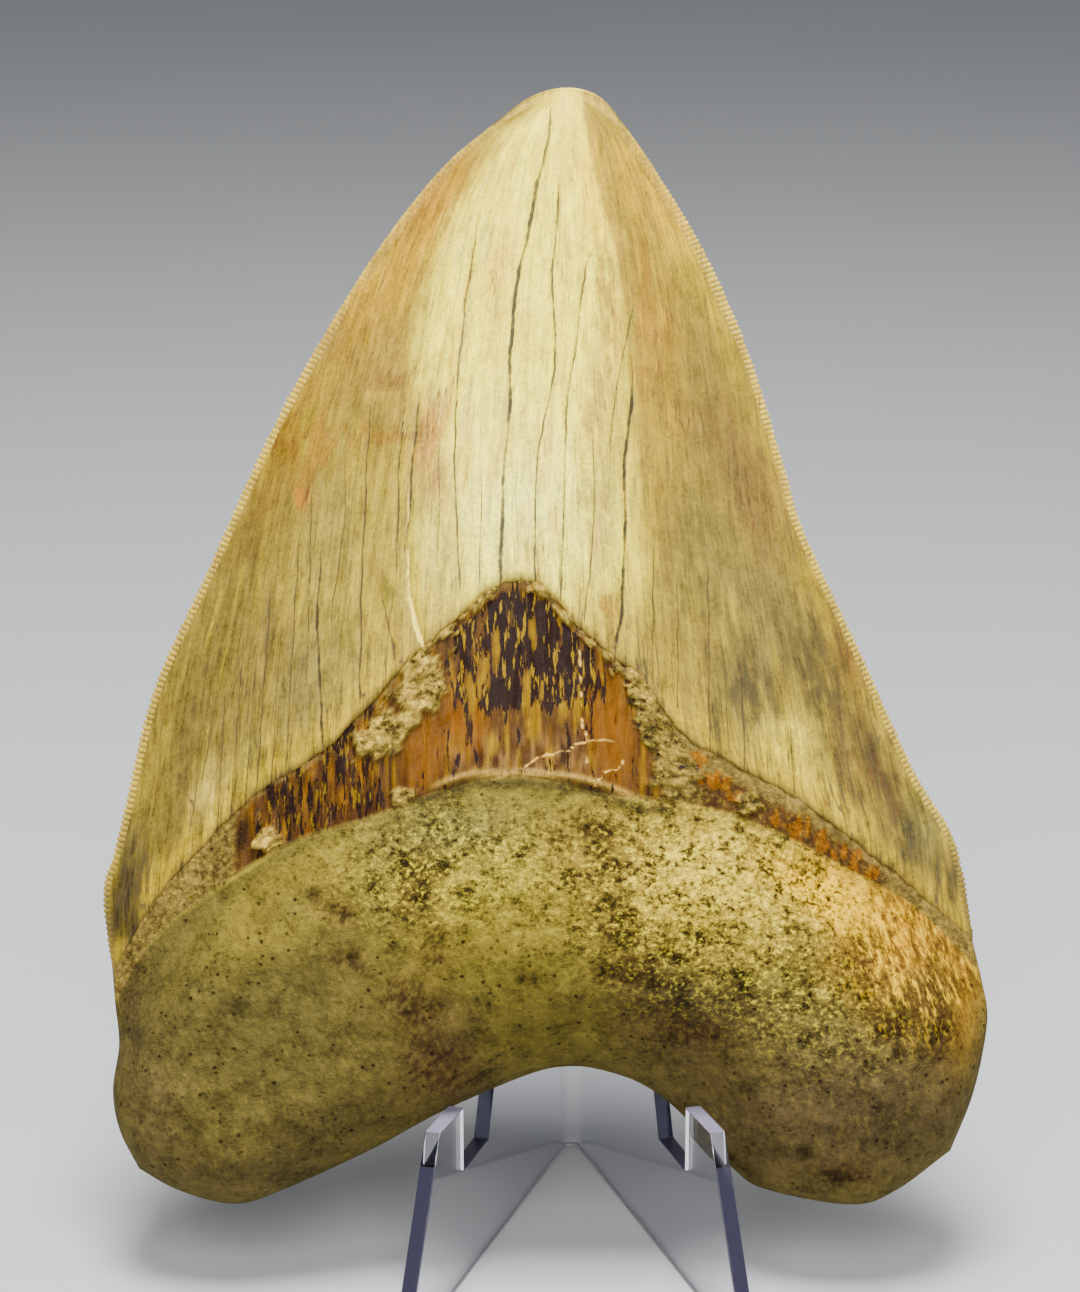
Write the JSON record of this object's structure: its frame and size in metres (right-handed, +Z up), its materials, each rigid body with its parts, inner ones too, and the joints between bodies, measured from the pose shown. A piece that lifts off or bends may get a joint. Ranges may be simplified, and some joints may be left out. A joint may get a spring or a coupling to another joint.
{
  "type": "fossil shark tooth on easel",
  "caption": "Broad triangular fossil megalodon tooth with serrated edges and an arched root, leaning on a clear bent acrylic easel.",
  "frame": {"origin": "centre of the bounding box at its bottom, where the easel stands", "axes": "+Z up, -Y towards the viewer that the tooth faces, +X to that viewer's right"},
  "size_m": [0.1066, 0.0644, 0.1371],
  "materials": {
    "tooth": "polished enamel on the crown, matte porous root",
    "stand": "clear, glossy"
  },
  "bodies": {
    "root": {"tooth": "tooth", "stand": "stand"}
  },
  "joints": []
}
